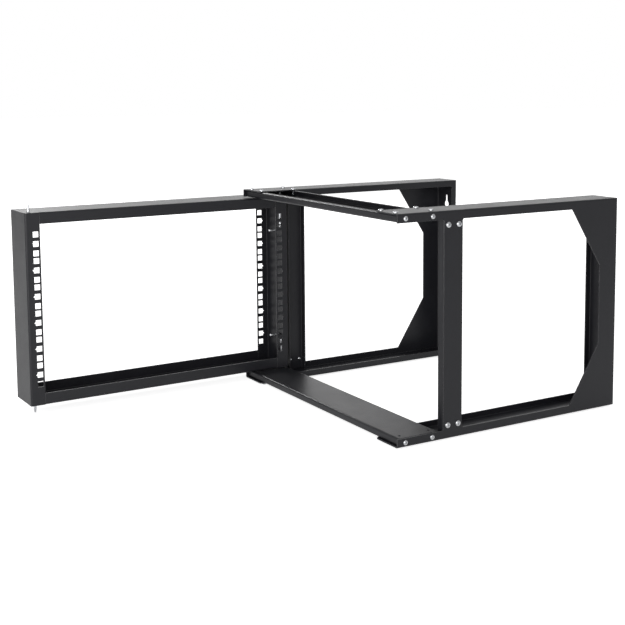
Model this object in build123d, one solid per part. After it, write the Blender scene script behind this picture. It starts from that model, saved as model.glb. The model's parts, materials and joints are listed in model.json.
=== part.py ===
from build123d import *

import os

# Wall mount open frame rack, 6U, with a swing gate. Millimetres, +Z up.
# The origin is the centre of the wall face. The rack reaches forward along -Y, and +X is its right side.

# Rack standard
rack_units = 6
rack_unit = 44.45
hole_spacing = 15.875
hole_column_spacing = 465.1
square_hole = 9.8
notch_depth = 2.5
notch_height = 4.0

# Folded sheet
sheet = 2.0
bend = 1.0
seam = 0.4

# Gate
rail_width = 24.8
hole_from_side = 17.45
gate_depth = 78.3
gate_margin = 30.25
bar_height = 19.5
gate_open = 88.5

# Clearances round the gate
side_gap = 4.0
end_gap = 1.9

# Side frames
depth = 451.0
flange = 62.0
lip = 12.0
lip_relief = 1.5
strip = 14.0
corner_chamfer = 5.0
window_radius = 3.0
column_gap = 7.4
column_width = 35.4
wall_strip = 39.0
gusset_depth = 63.0
gusset_height = 97.5

# Wall fixings
fixing_from_side = 30.5
fixing_height = 145.0
fixing_hole = 7.0
keyhole_slot = 6.5
keyhole_round = 14.0
keyhole_drop = 16.0

# Front posts
post_flange = 13.0
post_screw_spacing = 20.0
post_screw_from_end = 22.0

# Cross-members
cross_height = 12.0
cross_width = 74.4
cross_setback = 4.2
cross_lip = 7.0
tab_inset = 4.0
tab_relief = 2.5
tab_screw_front_inset = 10.2
tab_screw_rear_inset = 13.8
tab_screw_from_end = 7.5
lip_screw_inset = 4.3
lip_screw_from_side = 18.0
lip_screw_from_flange_edge = 4.0

# Pins and what guides them
pin_diameter = 4.8
pin_from_side = 9.5
pin_from_rear = 10.3
pin_from_cross_rear = 9.8
pin_end_gap = 0.4
pin_taper = 6.5
pin_tip_diameter = 2.6
pin_bend = 5.0
pin_clearance = 0.1
handle_from_end = 63.2
handle_length = 24.5
clip_diameter = 9.0
clip_thickness = 1.5
clip_groove = 0.5
bracket_from_end = 29.2
bracket_height = 26.0
bracket_width = 12.0
spring_diameter = 7.2
spring_wire = 0.9
spring_turns = 6
washer_diameter = 12.0
washer_thickness = 1.6

# Screws
m5 = 5.0
m5_head = 9.5
m5_head_height = 3.2
m5_thread_end = 3.0
m4 = 4.0
m4_head = 8.0
m4_head_height = 2.6
m4_thread_end = 6.0
screw_clearance = 0.1

# Worked out from the above
fold = bend + sheet
gate_width = hole_column_spacing + 2 * hole_from_side
gate_height = rack_units * rack_unit + 2 * gate_margin
width = gate_width + 2 * (side_gap + sheet)
height = gate_height + 2 * (end_gap + cross_height + sheet)

side_x = width / 2
web_x = side_x - sheet
flange_x = side_x - flange
top_z = height / 2
flange_z = top_z - sheet
strip_z = top_z - strip
front_y = -depth

cross_z = flange_z - cross_height
cross_front_y = front_y + cross_setback
cross_rear_y = cross_front_y + cross_width
cross_middle_y = (cross_front_y + cross_rear_y) / 2
lip_front_y = cross_rear_y + lip_relief

gate_x = gate_width / 2
gate_z = gate_height / 2
pin_x = gate_x - pin_from_side
pin_y = cross_rear_y - pin_from_cross_rear
gate_rear_y = pin_y + pin_from_rear
gate_front_y = gate_rear_y - gate_depth
column_front_y = gate_rear_y + column_gap
column_rear_y = column_front_y + column_width
hole_x = hole_column_spacing / 2

pin_hole = pin_diameter / 2 + pin_clearance
clip_z = gate_z - sheet - clip_thickness
bracket_z = gate_z - bracket_from_end
handle_z = gate_z - handle_from_end


def block(x0, x1, y0, y1, z0, z1):
    """A box between the given faces."""
    size = Box(x1 - x0, y1 - y0, z1 - z0)
    return Pos((x0 + x1) / 2, (y0 + y1) / 2, (z0 + z1) / 2) * size


def folded(plane, outline, length):
    """Sheet folded along the open outline of its outer face, and extruded from the plane."""
    with BuildSketch() as section:
        with BuildLine():
            FilletPolyline(*outline, radius=fold)
            offset(amount=sheet, side=Side.RIGHT)
        make_face()
    return plane * extrude(section.sketch, amount=length)


def mirrored_x(part):
    """The same part on the other side of the rack."""
    return mirror(part, about=Plane.YZ)


def mirrored_z(part):
    """The same part at the other end of the rack's height."""
    return mirror(part, about=Plane.XY)


def tray_block(x0, x1, y0, y1, z, radius):
    """A block with rounded edges where the tray of a side frame folds, open-ended towards the front."""
    seen_from_front = Pos((x0 + x1) / 2, 0) * RectangleRounded(x1 - x0, 2 * z, radius)
    along = Plane.XZ.offset(-y1) * extrude(seen_from_front, amount=y1 - y0)
    longer = y1 - y0 + 4 * radius
    seen_from_top = Pos((x0 + x1) / 2, y1 - longer / 2) * RectangleRounded(x1 - x0, longer, radius)
    return along & Pos(0, 0, -z) * extrude(seen_from_top, amount=2 * z)


def side_window():
    """Outline of the large window in a side web, seen along X."""
    rear_y = -wall_strip
    corners = [
        (column_rear_y, -strip_z),
        (rear_y - gusset_depth, -strip_z),
        (rear_y, -strip_z + gusset_height),
        (rear_y, strip_z - gusset_height),
        (rear_y - gusset_depth, strip_z),
        (column_rear_y, strip_z),
    ]
    outline = make_face(Polyline(*corners, close=True))
    return fillet(outline.vertices(), window_radius)


def keyhole():
    """Keyhole in the wall flange, seen along Y, with its seat at the fixing's place."""
    slot_half = keyhole_slot / 2
    slot = Pos(0, -keyhole_drop / 2) * Rectangle(keyhole_slot, keyhole_drop)
    return slot + Circle(slot_half) + Pos(0, -keyhole_drop) * Circle(keyhole_round / 2)


def screw_holes(places, diameter):
    """Round holes along an axis: each place is a plane at the middle of a wall."""
    radius = diameter / 2 + screw_clearance
    return [plane * Cylinder(radius, 8 * sheet) for plane in places]


def towards(x, y, z, normal):
    """A plane at a point, with its normal along the way that a screw's head faces."""
    return Plane(origin=(x, y, z), z_dir=normal)


def post_screw_places():
    """Where the right post's screws seat on the outside of the right web."""
    middle_y = (column_front_y + column_rear_y) / 2
    heights = (top_z - post_screw_from_end, -top_z + post_screw_from_end)
    sides = (-post_screw_spacing / 2, post_screw_spacing / 2)
    return [towards(side_x, middle_y + dy, z, (1, 0, 0)) for z in heights for dy in sides]


def tab_screw_places():
    """Where the screws of the cross-members' tabs seat on the outside of the right web."""
    heights = (top_z - tab_screw_from_end, -top_z + tab_screw_from_end)
    along = (cross_front_y + tab_screw_front_inset, cross_rear_y - tab_screw_rear_inset)
    return [towards(side_x, y, z, (1, 0, 0)) for z in heights for y in along]


def lip_screw_places():
    """Where the screws of the top cross-member's right end seat on the top flange."""
    across = (flange_x + lip_screw_from_flange_edge, side_x - lip_screw_from_side)
    along = (cross_front_y + lip_screw_inset, cross_rear_y - lip_screw_inset)
    return [towards(x, y, top_z, (0, 0, 1)) for x in across for y in along]


def side_frame():
    """Right side frame: one sheet with flanges at the top, bottom and wall, and a lip round their inner edge."""
    outer = tray_block(flange_x, side_x, lip_front_y, 0, top_z, fold)
    inner = tray_block(flange_x + sheet, web_x, lip_front_y - sheet, -sheet, flange_z, bend)
    mouth = block(flange_x - sheet, flange_x + fold, lip_front_y - sheet, -lip, -top_z + lip, top_z - lip)
    tray = outer - inner - mouth

    channel = [(flange_x, top_z), (side_x, top_z), (side_x, -top_z), (flange_x, -top_z)]
    front_length = lip_front_y - front_y
    frame = tray + folded(Plane.XZ.offset(-lip_front_y), channel, front_length)

    window = Plane.YZ.offset(web_x - sheet) * extrude(side_window(), amount=3 * sheet)
    opening_length = column_front_y - front_y + 2 * window_radius
    opening = Rectangle(opening_length, 2 * strip_z)
    opening = fillet(opening.vertices(), window_radius)
    opening = Pos(column_front_y - opening_length / 2, 0) * opening
    gate_way = Plane.YZ.offset(web_x - sheet) * extrude(opening, amount=3 * sheet)
    frame = frame - window - gate_way

    for end in (-1, 1):
        relief = Pos(flange_x, lip_front_y, end * top_z) * Box(2 * fold, lip_relief, 2 * lip + fold)
        corner = Pos(flange_x, front_y, end * top_z) * Rot(0, 0, 45)
        corner = corner * Box(2 ** 0.5 * corner_chamfer, 2 ** 0.5 * corner_chamfer, 4 * sheet)
        slit = Pos(side_x - fold - flange / 2, 0, end * top_z) * Rot(end * 45, 0, 0)
        slit = slit * Box(flange, seam, 4 * lip)
        frame = frame - relief - corner - slit

    fixing_x = side_x - fixing_from_side
    key = Pos(fixing_x, fixing_height) * keyhole()
    frame = frame - Plane.XZ.offset(-sheet) * extrude(key, amount=2 * sheet)
    frame = frame - Pos(fixing_x, 0, -fixing_height) * Rot(90, 0, 0) * Cylinder(fixing_hole / 2, 4 * sheet)

    for cut in screw_holes(post_screw_places(), m5) + screw_holes(tab_screw_places(), m4):
        frame = frame - cut
    for cut in screw_holes(lip_screw_places(), m4):
        frame = frame - cut - mirrored_z(cut)
    return frame


def front_post():
    """Right front post: a channel nested behind the column of the side frame."""
    inner_x = web_x - post_flange
    end_z = flange_z - bend
    channel = [
        (inner_x, column_front_y),
        (web_x, column_front_y),
        (web_x, column_rear_y),
        (inner_x, column_rear_y),
    ]
    post = folded(Plane.XY.offset(-end_z), channel[::-1], 2 * end_z)
    for cut in screw_holes(post_screw_places(), m5):
        post = post - cut
    return post


def cross_member():
    """Top cross-member: a lipped channel, its web towards the gate, with a tab folded up at each end."""
    end_x = web_x - tab_relief
    channel = [
        (cross_front_y + cross_lip, flange_z),
        (cross_front_y, flange_z),
        (cross_front_y, cross_z),
        (cross_rear_y, cross_z),
        (cross_rear_y, flange_z),
        (cross_rear_y - cross_lip, flange_z),
    ]
    beam = folded(Plane.YZ.offset(-end_x), channel[::-1], 2 * end_x)

    tab_rear_y = cross_rear_y - tab_inset
    tab_width = cross_width - 2 * tab_inset
    tab_line = [(end_x - fold, cross_z), (web_x, cross_z), (web_x, flange_z - bend)]
    tab = folded(Plane.XZ.offset(-tab_rear_y), tab_line[::-1], tab_width)
    beam = beam + tab + mirrored_x(tab)

    for side in (-1, 1):
        for y in (pin_y, 2 * cross_middle_y - pin_y):
            beam = beam - Pos(side * pin_x, y, cross_z) * Cylinder(pin_hole, 4 * sheet)
    for cut in screw_holes(tab_screw_places(), m4) + screw_holes(lip_screw_places(), m4):
        beam = beam - cut - mirrored_x(cut)
    return beam


def pan_screw(diameter, head, head_height, length):
    """Pan head screw along Z, its head above the origin and its shank below."""
    top = fillet(Cylinder(head / 2, head_height, align=(Align.CENTER, Align.CENTER, Align.MIN)).edges()
                 .sort_by(Axis.Z)[-1:], 0.6 * head_height)
    shank = Cylinder(diameter / 2, length, align=(Align.CENTER, Align.CENTER, Align.MAX))
    point = chamfer(shank.edges().sort_by(Axis.Z)[:1], diameter / 8)
    return top + point


def screw_group(places, diameter, head, head_height, thread_end):
    """One screw at each place, through two sheets and out by the same length of thread."""
    screw = pan_screw(diameter, head, head_height, 2 * sheet + thread_end)
    return Compound([(plane * screw).solid() for plane in places])


def square_holes():
    """One column of square holes, seen along Y, the middle hole of each rack unit notched on its outer side."""
    column = []
    for unit in range(rack_units):
        middle_z = (unit - rack_units / 2 + 0.5) * rack_unit
        for place in (-1, 0, 1):
            hole = Rectangle(square_hole, square_hole)
            if place == 0:
                tip = (-square_hole / 2 - notch_depth, 0)
                base = -square_hole / 2
                notch = [(base, -notch_height / 2), tip, (base, notch_height / 2)]
                hole = hole + make_face(Polyline(*notch, close=True))
            column.append(Pos(-hole_x, middle_z + place * hole_spacing) * hole)
    return column


def gate_upright():
    """Hinge side upright of the closed gate: a channel, with square holes in its front and rear rails."""
    inner_x = -gate_x + rail_width
    channel = [
        (inner_x, gate_rear_y),
        (-gate_x, gate_rear_y),
        (-gate_x, gate_front_y),
        (inner_x, gate_front_y),
    ]
    upright = folded(Plane.XY.offset(-gate_z), channel[::-1], gate_height)
    cuts = [extrude(hole, amount=gate_depth + 2 * sheet) for hole in square_holes()]
    for cut in cuts:
        upright = upright - Plane.XZ.offset(-gate_rear_y - sheet) * cut
    return upright


def gate_bar():
    """Top bar of the closed gate: a channel between the rails, its wall running on into the uprights."""
    between_x = gate_x - rail_width
    channel = [
        (gate_front_y, gate_z - bar_height),
        (gate_front_y, gate_z),
        (gate_rear_y, gate_z),
        (gate_rear_y, gate_z - bar_height),
    ]
    bar = folded(Plane.YZ.offset(-between_x), channel, 2 * between_x)
    wall = Rectangle(2 * (gate_x - sheet), gate_depth - 2 * sheet)
    wall = chamfer(wall.vertices(), bend)
    wall = Pos(0, (gate_front_y + gate_rear_y) / 2, gate_z - sheet) * extrude(wall, amount=sheet)
    bar = bar + wall
    for side in (-1, 1):
        bar = bar - Pos(side * pin_x, pin_y, gate_z) * Cylinder(pin_hole, 4 * sheet)
    return bar


def pin_bracket():
    """Top bracket on the hinge side of the closed gate: a folded U, its round-ended legs guiding the pin."""
    wall_x = -gate_x + sheet
    leg_end = bracket_width / 2
    leg_x = -pin_x + leg_end
    low_z = bracket_z - bracket_height
    outline = [
        (leg_x, bracket_z),
        (wall_x, bracket_z),
        (wall_x, low_z),
        (leg_x, low_z),
    ]
    bracket = folded(Plane.XZ.offset(-pin_y - leg_end), outline[::-1], bracket_width)
    pin_from_wall = -pin_x - wall_x
    leg = Circle(leg_end) + Pos(-pin_from_wall / 2, 0) * Rectangle(pin_from_wall, bracket_width)
    bracket = bracket & Pos(-pin_x, pin_y, low_z) * extrude(leg, amount=bracket_height)
    return bracket - Pos(-pin_x, pin_y, low_z) * Cylinder(pin_hole, 4 * bracket_height)


def pin(handle_way):
    """Top pin on the hinge side of the closed gate: a tapered rod, bent to a handle at its other end."""
    tip_z = flange_z - pin_end_gap
    reach = handle_length * Vector(*handle_way)
    bottom = Vector(-pin_x, pin_y, handle_z)
    path = FilletPolyline(Vector(-pin_x, pin_y, tip_z - pin_taper), bottom, bottom + reach, radius=pin_bend)
    section = Plane(origin=path @ 0, z_dir=path % 0) * Circle(pin_diameter / 2)
    rod = sweep(section, path=path)
    nose = Cone(pin_diameter / 2, pin_tip_diameter / 2, pin_taper, align=(Align.CENTER, Align.CENTER, Align.MIN))
    nose = fillet(nose.edges().sort_by(Axis.Z)[-1:], pin_tip_diameter / 3)
    rod = rod + Pos(-pin_x, pin_y, tip_z - pin_taper) * nose
    grip_end = rod.faces().sort_by(Axis(tuple(bottom), handle_way))[-1]
    rod = chamfer(grip_end.edges(), pin_diameter / 8)
    groove = Cylinder(pin_diameter, clip_thickness) - Cylinder(pin_diameter / 2 - clip_groove, clip_thickness)
    return rod - Pos(-pin_x, pin_y, clip_z + clip_thickness / 2) * groove


def pin_clip():
    """Clip in the groove of that pin, under the wall of the bar."""
    bore = pin_diameter / 2 - clip_groove
    ring = Circle(clip_diameter / 2) - Circle(bore)
    ring = ring - Pos(clip_diameter / 2, 0) * Rectangle(clip_diameter, 1.5 * bore)
    return Pos(-pin_x, pin_y, clip_z) * extrude(ring, amount=clip_thickness)


def pin_spring():
    """Spring round that pin, between the bracket and the clip."""
    length = clip_z - bracket_z - spring_wire
    path = Helix(pitch=length / spring_turns, height=length, radius=spring_diameter / 2)
    section = Plane(origin=path @ 0, z_dir=path % 0) * Circle(spring_wire / 2)
    coil = sweep(section, path=path, is_frenet=True)
    return Pos(-pin_x, pin_y, bracket_z + spring_wire / 2) * coil


def hinge_washer(seat_z):
    """Washer on the hinge pins, lying on a seat at the given height."""
    ring = Circle(washer_diameter / 2) - Circle(pin_hole)
    return Pos(-pin_x, pin_y, seat_z) * extrude(ring, amount=washer_thickness)


def swung(part):
    """A piece of the closed gate, turned on the hinge pins to where the gate stands open."""
    hinge = Pos(-pin_x, pin_y, 0)
    return hinge * Rot(0, 0, -gate_open) * hinge.inverse() * part


def frame_pieces():
    """The pieces that stand still."""
    side = side_frame()
    post = front_post()
    cross = cross_member()
    post_screws = screw_group(post_screw_places(), m5, m5_head, m5_head_height, m5_thread_end)
    tab_screws = screw_group(tab_screw_places(), m4, m4_head, m4_head_height, m4_thread_end)
    lip_screws = screw_group(lip_screw_places(), m4, m4_head, m4_head_height, m4_thread_end)
    return {
        "side_frame_right": side,
        "side_frame_left": mirrored_x(side),
        "front_post_right": post,
        "front_post_left": mirrored_x(post),
        "top_cross_member": cross,
        "bottom_cross_member": mirrored_z(cross),
        "post_screws_right": post_screws,
        "post_screws_left": mirrored_x(post_screws),
        "cross_member_screws_right": tab_screws,
        "cross_member_screws_left": mirrored_x(tab_screws),
        "top_flange_screws_right": lip_screws,
        "top_flange_screws_left": mirrored_x(lip_screws),
        "bottom_flange_screws_right": mirrored_z(lip_screws),
        "bottom_flange_screws_left": mirrored_z(mirrored_x(lip_screws)),
        "hinge_washer_bottom": hinge_washer(-cross_z),
    }


def gate_pieces():
    """The pieces of the gate and its pins, closed."""
    upright = gate_upright()
    bar = gate_bar()
    pieces = {
        "gate_hinge_upright": upright,
        "gate_latch_upright": mirrored_x(upright),
        "gate_top_bar": bar,
        "gate_bottom_bar": mirrored_z(bar),
        "hinge_washer_top": hinge_washer(gate_z),
    }
    ways = {"hinge": (1, 0, 0), "latch": (0, -1, 0)}
    for side, way in ways.items():
        carried = {
            f"pin_bracket_{side}": pin_bracket(),
            f"{side}_pin": pin(way),
            f"pin_clip_{side}": pin_clip(),
            f"pin_spring_{side}": pin_spring(),
        }
        for name, piece in carried.items():
            top = piece if side == "hinge" else mirrored_x(piece)
            pieces[f"{name}_top"] = top
            pieces[f"{name}_bottom"] = mirrored_z(top)
    return pieces


os.makedirs("parts", exist_ok=True)
for name, piece in frame_pieces().items():
    export_step(piece, f"parts/{name}.step")
for name, piece in gate_pieces().items():
    export_step(swung(piece), f"parts/{name}.step")
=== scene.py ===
import json
import math

import bpy
from mathutils import Matrix, Vector


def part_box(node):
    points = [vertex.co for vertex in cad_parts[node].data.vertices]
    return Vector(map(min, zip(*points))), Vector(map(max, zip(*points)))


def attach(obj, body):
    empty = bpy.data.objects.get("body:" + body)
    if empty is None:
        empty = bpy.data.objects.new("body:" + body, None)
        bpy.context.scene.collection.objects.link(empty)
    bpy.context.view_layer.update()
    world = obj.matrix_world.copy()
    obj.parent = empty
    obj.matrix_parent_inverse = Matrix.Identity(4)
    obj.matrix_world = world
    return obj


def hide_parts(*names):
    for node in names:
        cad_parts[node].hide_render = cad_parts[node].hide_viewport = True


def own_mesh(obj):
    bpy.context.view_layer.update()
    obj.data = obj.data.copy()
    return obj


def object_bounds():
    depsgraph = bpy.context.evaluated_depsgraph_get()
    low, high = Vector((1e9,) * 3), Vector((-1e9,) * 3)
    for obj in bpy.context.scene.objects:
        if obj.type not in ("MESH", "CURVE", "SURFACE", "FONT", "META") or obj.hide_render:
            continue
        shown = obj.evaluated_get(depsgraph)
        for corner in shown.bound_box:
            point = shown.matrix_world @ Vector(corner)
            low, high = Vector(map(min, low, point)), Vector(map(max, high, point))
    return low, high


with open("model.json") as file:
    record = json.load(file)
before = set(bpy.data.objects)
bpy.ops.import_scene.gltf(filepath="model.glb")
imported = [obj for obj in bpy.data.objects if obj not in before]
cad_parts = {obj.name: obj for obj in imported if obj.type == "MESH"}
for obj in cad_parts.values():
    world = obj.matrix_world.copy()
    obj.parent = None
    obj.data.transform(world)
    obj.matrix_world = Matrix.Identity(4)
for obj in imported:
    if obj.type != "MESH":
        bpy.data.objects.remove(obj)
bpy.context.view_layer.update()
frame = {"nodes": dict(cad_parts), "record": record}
MM = 0.001

# The least share of a level face's normal that points up, or down
LEVEL = 0.9

# Camera, set to the photograph's view: its turns are in degrees, and its lens in pixels of a square image
CAMERA_PLACE = (1.6386, -1.3913, 0.3661)
CAMERA_TURN = 58.52
CAMERA_TILT = -6.27
CAMERA_ROLL = -0.28
LENS_PIXELS = 1130.8
IMAGE_PIXELS = 625
SENSOR_WIDTH = 36.0
SHIFT = (-0.05, -0.16)
NEAREST_SEEN = 0.05
FARTHEST_SEEN = 100.0

# Screws, each with its head's radius and height, and its shank's radius, length and pitch
M5 = {"head": 4.75 * MM, "height": 3.2 * MM, "shank": 2.5 * MM, "length": 7.0 * MM, "pitch": 0.8 * MM}
M4 = {"head": 4.0 * MM, "height": 2.6 * MM, "shank": 2.0 * MM, "length": 10.0 * MM, "pitch": 0.7 * MM}
SCREW_SMOOTH = 35

# Heads, in shares of their radius or height, the crown as steps inwards and upwards
HEAD_SIDES = 48
WALL = 0.42
CROWN = ((0.03, 0.13), (0.09, 0.17), (0.16, 0.15), (0.22, 0.09), (0.2, 0.04))
RECESS_SPAN = 0.6
RECESS_WIDTH = 0.15
RECESS_DEPTH = 0.5
RECESS_FLOOR = 0.45

# Shanks: the thread's foot is a share of its pitch, and the point's bevel a share of the radius
CORE_SIDES = 32
THREAD_DEPTH = 0.28 * MM
THREAD_FOOT = 0.96
THREAD_STEPS = 20
POINT = 0.8 * MM
POINT_BEVEL = 0.3

# How far the screws of a group are turned, in degrees: from one to the next, and for each letter of its name
SCREW_TURN = 37
LETTER_TURN = 11

# Springs
WIRE = 0.45 * MM
WIRE_SIDES = 10
SPRING_TURNS = 6
SPRING_STEPS = 28
SPRING_SMOOTH = 60
CLIP_GAP = 0.05 * MM

# Powder coat
GRAIN_SCALE = 1400
GRAIN_HEIGHT = 0.1 * MM
PEEL_SCALE = 260
PEEL_HEIGHT = 0.2 * MM
MOTTLE_SCALE = 28
MOTTLE_TONES = (0.85, 1.15)
MOTTLE_ROUGHNESS = (-0.05, 0.05)

# Its edges: how far they look rounded, and the cosine between face and rounding where their painted highlight
# is at its palest
EDGE_ROUND = 0.6 * MM
EDGE_COSINE = 0.8

# Plating
PATCH_SCALE = 420
PATCH_ROUGHNESS = (-0.08, 0.12)
BRUSH_SCALE = 3200
BRUSH_HEIGHT = 0.03 * MM

# Floor, world and soft boxes, each box with its place, its width and height, and its power
FLOOR_SIZE = 40.0
FLOOR_GAP = 0.5 * MM
FLOOR_COLOUR = (0.93, 0.93, 0.93, 1)
FLOOR_GLOW = 0.8
FLOOR_SHINE = 0.25
WORLD_LIGHT = 0.3
WORLD_SHINE = 0.45
WHITE = (1, 1, 1, 1)
LIT_POINT = (-0.05, -0.4, 0.0)
SOFT_BOXES = {
    "overhead soft box": ((-0.3, 0.2, 2.6), (3.0, 3.0), 12),
    "front soft box": ((1.6, -2.6, 0.5), (2.8, 1.8), 50),
    "side soft box": ((3.2, -1.0, 0.6), (2.0, 1.8), 15),
    "left soft box": ((-3.0, -0.4, 1.9), (0.6, 0.6), 28),
    "rear soft box": ((-3.2, 1.5, 0.6), (4.0, 1.2), 17),
}


# Helpers for modelling by hand


def only(piece):
    """Selects one piece and makes it the active one."""
    bpy.ops.object.select_all(action="DESELECT")
    piece.select_set(True)
    bpy.context.view_layer.objects.active = piece


def start_edit(piece, mode, action):
    """Enters edit mode on one piece, with all of it selected or nothing."""
    only(piece)
    bpy.ops.object.mode_set(mode="EDIT")
    bpy.ops.mesh.select_mode(type=mode)
    bpy.ops.mesh.select_all(action=action)


def finish_edit():
    """Goes back to object mode."""
    bpy.ops.object.mode_set(mode="OBJECT")


def edit_level_faces(piece, way):
    """Enters edit mode with the faces selected that look straight up, or straight down for a way of -1."""
    start_edit(piece, "FACE", "DESELECT")
    finish_edit()
    for face in piece.data.polygons:
        face.select = way * face.normal.z > LEVEL
    bpy.ops.object.mode_set(mode="EDIT")


def apply_all(piece):
    """Applies a piece's modifiers and its place."""
    only(piece)
    for modifier in list(piece.modifiers):
        bpy.ops.object.modifier_apply(modifier=modifier.name)
    bpy.ops.object.transform_apply(location=True, rotation=True, scale=True)


def set_down(piece, turn=(0, 0, 0), scale=(1, 1, 1), place=(0, 0, 0)):
    """Scales a piece, turns it by degrees and moves it, all in its mesh."""
    piece.scale = scale
    piece.rotation_euler = [math.radians(angle) for angle in turn]
    piece.location = place
    apply_all(piece)


def copy_of(piece, name, place):
    """A copy of a piece with its own mesh, moved by a matrix that goes into the mesh."""
    twin = piece.copy()
    twin.data = piece.data.copy()
    twin.name = name
    bpy.context.scene.collection.objects.link(twin)
    twin.data.transform(place)
    return twin


def joined(pieces, name):
    """Several pieces as one object."""
    only(pieces[0])
    for piece in pieces:
        piece.select_set(True)
    bpy.ops.object.join()
    whole = bpy.context.view_layer.objects.active
    whole.name = name
    return whole


def smoothed(piece, angle):
    """The same piece, shaded smooth where its faces meet at less than an angle in degrees."""
    only(piece)
    bpy.ops.object.shade_smooth_by_angle(angle=math.radians(angle))
    return piece


def wind(outline, rise, turns, steps):
    """Winds a closed outline about the Z axis, rising by as much in each turn, and closes its ends."""
    wound = outline.modifiers.new("wound", "SCREW")
    wound.screw_offset = rise
    wound.iterations = turns
    wound.steps = steps
    wound.render_steps = steps
    apply_all(outline)
    start_edit(outline, "VERT", "SELECT")
    bpy.ops.mesh.fill_holes(sides=0)
    bpy.ops.mesh.select_all(action="SELECT")
    bpy.ops.mesh.normals_make_consistent(inside=False)
    finish_edit()


# Pan head screws


def recess_bar(radius, height, turn):
    """One bar of a cross recess, centred on the top of a head and narrower at its floor."""
    bpy.ops.mesh.primitive_cube_add(size=1)
    bar = bpy.context.object
    size = (2 * RECESS_SPAN * radius, 2 * RECESS_WIDTH * radius, 2 * RECESS_DEPTH * height)
    set_down(bar, turn=(0, 0, turn), scale=size, place=(0, 0, height))
    edit_level_faces(bar, -1)
    bpy.ops.transform.resize(value=(RECESS_FLOOR, RECESS_FLOOR, 1), center_override=(0, 0, height))
    finish_edit()
    return bar


def pan_head(radius, height):
    """A domed head with a cross recess, its seat on the origin and its top along +Z."""
    wall = WALL * height
    middle = (0, 0, wall / 2)
    bpy.ops.mesh.primitive_cylinder_add(vertices=HEAD_SIDES, radius=radius, depth=wall, location=middle)
    head = bpy.context.object
    edit_level_faces(head, 1)
    for inwards, upwards in CROWN:
        bpy.ops.mesh.inset(thickness=inwards * radius, depth=upwards * height)
    finish_edit()

    bars = [recess_bar(radius, height, turn) for turn in (0, 90)]
    for bar in bars:
        cut = head.modifiers.new("recess", "BOOLEAN")
        cut.object = bar
        cut.solver = "EXACT"
    apply_all(head)
    for bar in bars:
        bpy.data.objects.remove(bar)
    return head


def thread_ridge(radius, length, pitch):
    """One thread up a shank: a three-cornered ridge that stands out as far as its foot lies in the core."""
    bpy.ops.mesh.primitive_circle_add(vertices=3, radius=1, fill_type="NOTHING")
    ridge = bpy.context.object
    tall, wide = 3 / 2, 3 ** 0.5
    deep = 2 * THREAD_DEPTH / tall
    set_down(ridge, turn=(0, 0, -90))
    set_down(ridge, turn=(90, 0, 0))
    set_down(ridge, scale=(deep, 1, THREAD_FOOT * pitch / wide), place=(radius - deep, 0, POINT - length))
    wind(ridge, pitch, int((length - POINT) / pitch), THREAD_STEPS)
    return ridge


def threaded_shank(radius, length, pitch):
    """A shank below the origin: a core with a blunt point, and its thread."""
    core = radius - THREAD_DEPTH
    middle = (0, 0, -length / 2)
    bpy.ops.mesh.primitive_cylinder_add(vertices=CORE_SIDES, radius=core, depth=length, location=middle)
    shank = bpy.context.object
    edit_level_faces(shank, -1)
    bpy.ops.mesh.bevel(offset=POINT_BEVEL * radius, segments=2, affect="EDGES")
    finish_edit()
    return joined([shank, thread_ridge(radius, length, pitch)], "shank")


def pan_screw(size):
    """A screw of one size, its head above the origin and its shank below."""
    head = pan_head(size["head"], size["height"])
    shank = threaded_shank(size["shank"], size["length"], size["pitch"])
    return smoothed(joined([head, shank], "pan_screw"), SCREW_SMOOTH)


def screw_places(node, way, size):
    """Where four screws seat: at the corners of their node's box, inset by a head's radius."""
    low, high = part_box(node)
    axis = max(range(3), key=lambda i: abs(way[i]))
    across = [i for i in range(3) if i != axis]
    seat = high[axis] - size["height"] if way[axis] > 0 else low[axis] + size["height"]
    places = []
    for a in (low[across[0]] + size["head"], high[across[0]] - size["head"]):
        for b in (low[across[1]] + size["head"], high[across[1]] - size["head"]):
            place = [0, 0, 0]
            place[axis], place[across[0]], place[across[1]] = seat, a, b
            places.append(Vector(place))
    return places


def screw_group(node, way, screw, size, material):
    """The four screws of a node, their heads facing one way, each turned a little differently as by hand."""
    facing = Vector(way).to_track_quat("Z", "Y").to_matrix().to_4x4()
    copies = []
    for number, place in enumerate(screw_places(node, way, size)):
        turn = math.radians(SCREW_TURN * number + LETTER_TURN * len(node))
        set_in = Matrix.Translation(place) @ facing @ Matrix.Rotation(turn, 4, "Z")
        copies.append(copy_of(screw, f"{node}_{number}", set_in))
    group = joined(copies, f"{node}_threaded")
    group.data.materials.append(material)
    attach(group, "frame")
    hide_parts(node)


def make_screws(zinc):
    """All the screws of the frame, on both sides and at both ends."""
    m5_screw = pan_screw(M5)
    m4_screw = pan_screw(M4)
    for side, outward in (("right", (1, 0, 0)), ("left", (-1, 0, 0))):
        screw_group(f"post_screws_{side}", outward, m5_screw, M5, zinc)
        screw_group(f"cross_member_screws_{side}", outward, m4_screw, M4, zinc)
        screw_group(f"top_flange_screws_{side}", (0, 0, 1), m4_screw, M4, zinc)
        screw_group(f"bottom_flange_screws_{side}", (0, 0, -1), m4_screw, M4, zinc)
    for pattern in (m5_screw, m4_screw):
        bpy.data.objects.remove(pattern)


# Springs on the pins


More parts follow.
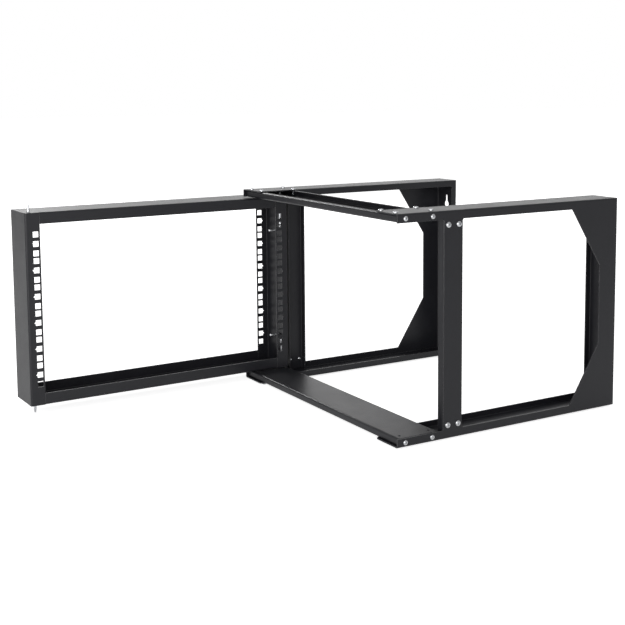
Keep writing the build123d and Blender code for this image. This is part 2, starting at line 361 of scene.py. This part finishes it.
def wound_spring(radius, length):
    """A compression spring up from the origin, with a closed turn at each end."""
    bpy.ops.mesh.primitive_circle_add(vertices=WIRE_SIDES, radius=WIRE, fill_type="NOTHING")
    coil = bpy.context.object
    set_down(coil, turn=(90, 0, 0), place=(radius, 0, WIRE))
    wind(coil, (length - 2 * WIRE) / SPRING_TURNS, SPRING_TURNS, SPRING_STEPS)
    turns = [coil]
    for height in (WIRE, length - WIRE):
        bpy.ops.mesh.primitive_torus_add(
            major_radius=radius, minor_radius=WIRE, major_segments=SPRING_STEPS, minor_segments=WIRE_SIDES
        )
        set_down(bpy.context.object, place=(0, 0, height))
        turns.append(bpy.context.object)
    return smoothed(joined(turns, "spring"), SPRING_SMOOTH)


def spring_on_pin(side, end, material):
    """The spring of one pin. It stands on its bracket, wound at one fixed length."""
    node = f"pin_spring_{side}_{end}"
    low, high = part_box(node)
    length = high.z - low.z
    seat_z, turn = (low.z, 0) if end == "top" else (high.z, math.pi)
    seat = Vector(((low.x + high.x) / 2, (low.y + high.y) / 2, seat_z))
    coil = wound_spring((high.x - low.x) / 2 - WIRE, length - CLIP_GAP)
    coil.data.transform(Matrix.Translation(seat) @ Matrix.Rotation(turn, 4, "X"))
    coil.name = f"{node}_wound"
    coil.data.materials.append(material)
    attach(coil, "gate")
    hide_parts(node)
    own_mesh(coil)


def make_springs(wire):
    """The four springs of the gate."""
    for side in ("hinge", "latch"):
        for end in ("top", "bottom"):
            spring_on_pin(side, end, wire)


# Materials


def new_node(tree, kind, place, values=()):
    """A shader node at a place, with the given inputs set."""
    made = tree.nodes.new(kind)
    made.location = place
    for name, value in dict(values).items():
        made.inputs[name].default_value = value
    return made


def sum_node(tree, operation, place):
    """A node that works out one number from others."""
    made = new_node(tree, "ShaderNodeMath", place)
    made.operation = operation
    return made


def vector_node(tree, operation, place):
    """A node that works on vectors or colours."""
    made = new_node(tree, "ShaderNodeVectorMath", place)
    made.operation = operation
    return made


def colour_mix(tree, place):
    """A node that mixes two colours."""
    made = new_node(tree, "ShaderNodeMix", place)
    made.data_type = "RGBA"
    return made


def new_group(name, second_colour):
    """An empty shader node group that takes two colours and a roughness, and puts out a finish."""
    group = bpy.data.node_groups.new(name, "ShaderNodeTree")
    colour, number, vector = "NodeSocketColor", "NodeSocketFloat", "NodeSocketVector"
    for label, kind in (("Colour", colour), (second_colour, colour), ("Roughness", number)):
        group.interface.new_socket(name=label, in_out="INPUT", socket_type=kind)
    for label, kind in (("Colour", colour), ("Roughness", number), ("Normal", vector)):
        group.interface.new_socket(name=label, in_out="OUTPUT", socket_type=kind)
    entry = group.nodes.new("NodeGroupInput")
    entry.location = (-1100, 0)
    leave = group.nodes.new("NodeGroupOutput")
    leave.location = (700, 0)
    return group, entry, leave


def vary_roughness(group, entry, leave, mask, limits):
    """Adds a little to the roughness that a group puts out, or takes some off, by a mask."""
    low, high = limits
    spread = new_node(group, "ShaderNodeMapRange", (-400, -50), {"To Min": low, "To Max": high})
    group.links.new(mask, spread.inputs["Value"])
    rough = sum_node(group, "ADD", (-150, 0))
    group.links.new(entry.outputs["Roughness"], rough.inputs[0])
    group.links.new(spread.outputs["Result"], rough.inputs[1])
    group.links.new(rough.outputs["Value"], leave.inputs["Roughness"])


def powder_group():
    """Powder coat: fine grain over a soft orange peel, mottled, and with a painted highlight that makes the
    sharp edges paler.
    """
    group, entry, leave = new_group("powder coat", "Edge Highlight Colour")
    link = group.links.new
    place = new_node(group, "ShaderNodeTexCoord", (-1100, -300))
    fineness = {"Scale": GRAIN_SCALE, "Detail": 3, "Roughness": 0.6}
    grain = new_node(group, "ShaderNodeTexNoise", (-700, -200), fineness)
    fineness = {"Scale": PEEL_SCALE, "Detail": 2, "Roughness": 0.5}
    peel = new_node(group, "ShaderNodeTexNoise", (-700, -450), fineness)
    fineness = {"Scale": MOTTLE_SCALE, "Detail": 4, "Roughness": 0.6}
    mottle = new_node(group, "ShaderNodeTexNoise", (-700, 100), fineness)
    for texture in (grain, peel, mottle):
        link(place.outputs["Object"], texture.inputs["Vector"])

    rounded = new_node(group, "ShaderNodeBevel", (-700, -700), {"Radius": EDGE_ROUND})
    rounded.samples = 4
    coarse = new_node(group, "ShaderNodeBump", (-400, -500), {"Strength": 0.35, "Distance": PEEL_HEIGHT})
    link(peel.outputs["Fac"], coarse.inputs["Height"])
    link(rounded.outputs["Normal"], coarse.inputs["Normal"])
    fine = new_node(group, "ShaderNodeBump", (-150, -350), {"Strength": 0.5, "Distance": GRAIN_HEIGHT})
    link(grain.outputs["Fac"], fine.inputs["Height"])
    link(coarse.outputs["Normal"], fine.inputs["Normal"])
    link(fine.outputs["Normal"], leave.inputs["Normal"])

    face = new_node(group, "ShaderNodeNewGeometry", (-700, -900))
    likeness = vector_node(group, "DOT_PRODUCT", (-450, -850))
    link(rounded.outputs["Normal"], likeness.inputs[0])
    link(face.outputs["Normal"], likeness.inputs[1])
    # Mask of the painted edge highlight: nought on a flat face, rising to one where the rounded normal leans
    # away from the face's
    edge = new_node(group, "ShaderNodeMapRange", (-200, -750), {"From Min": 1, "From Max": EDGE_COSINE})
    link(likeness.outputs["Value"], edge.inputs["Value"])

    dark, pale = MOTTLE_TONES
    shade = new_node(group, "ShaderNodeMapRange", (-400, 150), {"To Min": dark, "To Max": pale})
    link(mottle.outputs["Fac"], shade.inputs["Value"])
    toned = vector_node(group, "SCALE", (-150, 200))
    link(entry.outputs["Colour"], toned.inputs[0])
    link(shade.outputs["Result"], toned.inputs["Scale"])
    # Painted highlight: the colour is mixed towards the pale highlight colour along sharp edges
    edge_highlight = colour_mix(group, (150, 150))
    link(edge.outputs["Result"], edge_highlight.inputs["Factor"])
    link(toned.outputs["Vector"], edge_highlight.inputs["A"])
    link(entry.outputs["Edge Highlight Colour"], edge_highlight.inputs["B"])
    link(edge_highlight.outputs["Result"], leave.inputs["Colour"])
    vary_roughness(group, entry, leave, mottle.outputs["Fac"], MOTTLE_ROUGHNESS)
    return group


def plated_group():
    """Plated steel: faint patches of tone, a brushed grain and a satin that varies."""
    group, entry, leave = new_group("plating", "Dull Colour")
    link = group.links.new
    place = new_node(group, "ShaderNodeTexCoord", (-1100, -300))
    fineness = {"Scale": PATCH_SCALE, "Detail": 4, "Roughness": 0.65}
    patches = new_node(group, "ShaderNodeTexNoise", (-800, 100), fineness)
    brushed = new_node(group, "ShaderNodeTexNoise", (-800, -250), {"Scale": BRUSH_SCALE, "Detail": 2})
    for texture in (patches, brushed):
        link(place.outputs["Object"], texture.inputs["Vector"])

    tone = colour_mix(group, (-300, 150))
    link(patches.outputs["Fac"], tone.inputs["Factor"])
    link(entry.outputs["Colour"], tone.inputs["A"])
    link(entry.outputs["Dull Colour"], tone.inputs["B"])
    link(tone.outputs["Result"], leave.inputs["Colour"])
    vary_roughness(group, entry, leave, patches.outputs["Fac"], PATCH_ROUGHNESS)
    bump = new_node(group, "ShaderNodeBump", (-250, -300), {"Strength": 0.15, "Distance": BRUSH_HEIGHT})
    link(brushed.outputs["Fac"], bump.inputs["Height"])
    link(bump.outputs["Normal"], leave.inputs["Normal"])
    return group


def empty_material(name):
    """A material with nothing in its tree but an output, and that output."""
    material = bpy.data.materials.new(name)
    material.use_nodes = True
    material.node_tree.nodes.clear()
    out = new_node(material.node_tree, "ShaderNodeOutputMaterial", (300, 0))
    return material, out


def surfaced(name, group, values, shader_values):
    """A material whose shader takes its colour, roughness and normal from a group."""
    material, out = empty_material(name)
    tree = material.node_tree
    surface = new_node(tree, "ShaderNodeGroup", (-400, 0))
    surface.node_tree = group
    for label, value in values.items():
        surface.inputs[label].default_value = value
    shader = new_node(tree, "ShaderNodeBsdfPrincipled", (0, 0), shader_values)
    tree.links.new(surface.outputs["Colour"], shader.inputs["Base Color"])
    tree.links.new(surface.outputs["Roughness"], shader.inputs["Roughness"])
    tree.links.new(surface.outputs["Normal"], shader.inputs["Normal"])
    tree.links.new(shader.outputs["BSDF"], out.inputs["Surface"])
    return material


def finishes():
    """The finish for each of the record's material slots."""
    powder = powder_group()
    plating = plated_group()
    # The second colour of the black powder coat and of the black nylon is a painted highlight along sharp
    # edges
    black = {"Colour": (0.0112, 0.0114, 0.0145, 1), "Edge Highlight Colour": (0.16, 0.16, 0.163, 1), "Roughness": 0.38}
    nylon = {"Colour": (0.012, 0.012, 0.013, 1), "Edge Highlight Colour": (0.02, 0.02, 0.021, 1), "Roughness": 0.55}
    zinc = {"Colour": (0.74, 0.75, 0.77, 1), "Dull Colour": (0.5, 0.51, 0.53, 1), "Roughness": 0.2}
    wire = {"Colour": (0.5, 0.5, 0.52, 1), "Dull Colour": (0.34, 0.34, 0.36, 1), "Roughness": 0.32}
    return {
        "black_powder_coat": surfaced("black powder coat", powder, black, {"Specular IOR Level": 0.4}),
        "bright_zinc": surfaced("bright zinc", plating, zinc, {"Metallic": 1.0}),
        "spring_steel": surfaced("spring steel", plating, wire, {"Metallic": 1.0}),
        "black_nylon": surfaced("black nylon", powder, nylon, {"Specular IOR Level": 0.4}),
    }


def dress_solids(finish):
    """Gives each solid of the frame the finish of its slot in the record."""
    for part in frame["record"]["subparts"]:
        mesh = frame["nodes"][part["node"]].data
        mesh.materials.clear()
        mesh.materials.append(finish[part["material_slot"]])


def floor_material():
    """Pale floor that shows white to the camera and glows to gloss, and keeps the object's shadow."""
    material, out = empty_material("pale floor")
    tree = material.node_tree
    matte = new_node(tree, "ShaderNodeBsdfDiffuse", (-200, 100), {"Color": FLOOR_COLOUR})
    seen = new_node(tree, "ShaderNodeLightPath", (-750, -100))
    shown = sum_node(tree, "MULTIPLY", (-550, -100))
    shown.inputs[1].default_value = FLOOR_GLOW
    tree.links.new(seen.outputs["Is Camera Ray"], shown.inputs[0])
    strength = sum_node(tree, "MULTIPLY_ADD", (-400, -100))
    strength.inputs[1].default_value = FLOOR_SHINE
    tree.links.new(seen.outputs["Is Glossy Ray"], strength.inputs[0])
    tree.links.new(shown.outputs["Value"], strength.inputs[2])
    glow = new_node(tree, "ShaderNodeEmission", (-200, -100), {"Color": WHITE})
    tree.links.new(strength.outputs["Value"], glow.inputs["Strength"])
    both = new_node(tree, "ShaderNodeAddShader", (0, 0))
    tree.links.new(matte.outputs["BSDF"], both.inputs[0])
    tree.links.new(glow.outputs["Emission"], both.inputs[1])
    tree.links.new(both.outputs["Shader"], out.inputs["Surface"])
    return material


# Stage, lights and camera


def make_floor():
    """A plane just under the lowest solid."""
    low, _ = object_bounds()
    bpy.ops.mesh.primitive_plane_add(size=FLOOR_SIZE, location=(0, 0, low.z - FLOOR_GAP))
    floor = bpy.context.object
    floor.name = "floor"
    floor.data.materials.append(floor_material())


def make_world():
    """White to the camera, brighter to gloss than to the rest of the light."""
    world = bpy.data.worlds.new("studio")
    bpy.context.scene.world = world
    world.use_nodes = True
    tree = world.node_tree
    tree.nodes.clear()
    seen = new_node(tree, "ShaderNodeLightPath", (-800, 0))
    shine = new_node(tree, "ShaderNodeMapRange", (-600, -150), {"To Min": WORLD_LIGHT, "To Max": WORLD_SHINE})
    tree.links.new(seen.outputs["Is Glossy Ray"], shine.inputs["Value"])
    strength = sum_node(tree, "MAXIMUM", (-400, 0))
    tree.links.new(seen.outputs["Is Camera Ray"], strength.inputs[0])
    tree.links.new(shine.outputs["Result"], strength.inputs[1])
    glow = new_node(tree, "ShaderNodeBackground", (-200, 0), {"Color": WHITE})
    tree.links.new(strength.outputs["Value"], glow.inputs["Strength"])
    out = new_node(tree, "ShaderNodeOutputWorld", (0, 0))
    tree.links.new(glow.outputs["Background"], out.inputs["Surface"])


def make_soft_boxes():
    """Rectangular soft boxes, all aimed at one point of the object."""
    for name, (place, size, power) in SOFT_BOXES.items():
        lamp = bpy.data.lights.new(name, "AREA")
        lamp.shape = "RECTANGLE"
        lamp.size, lamp.size_y = size
        lamp.energy = power
        box = bpy.data.objects.new(name, lamp)
        box.location = place
        box.rotation_euler = (Vector(LIT_POINT) - Vector(place)).to_track_quat("-Z", "Y").to_euler()
        bpy.context.scene.collection.objects.link(box)


def make_camera():
    """The camera, turned about the vertical first, then tilted, then rolled."""
    data = bpy.data.cameras.new("camera")
    data.sensor_width = SENSOR_WIDTH
    data.lens = LENS_PIXELS / IMAGE_PIXELS * SENSOR_WIDTH
    data.shift_x, data.shift_y = SHIFT
    data.clip_start = NEAREST_SEEN
    data.clip_end = FARTHEST_SEEN
    camera = bpy.data.objects.new("camera", data)
    bpy.context.scene.collection.objects.link(camera)
    turn = Matrix.Rotation(math.radians(CAMERA_TURN), 4, "Z")
    tilt = Matrix.Rotation(math.radians(90 + CAMERA_TILT), 4, "X")
    roll = Matrix.Rotation(math.radians(CAMERA_ROLL), 4, "Z")
    camera.matrix_world = Matrix.Translation(CAMERA_PLACE) @ turn @ tilt @ roll
    bpy.context.scene.camera = camera


# The making


make_camera()
finish = finishes()
dress_solids(finish)
make_screws(finish["bright_zinc"])
make_springs(finish["spring_steel"])
make_floor()
make_world()
make_soft_boxes()
bpy.context.scene.view_settings.view_transform = "Standard"
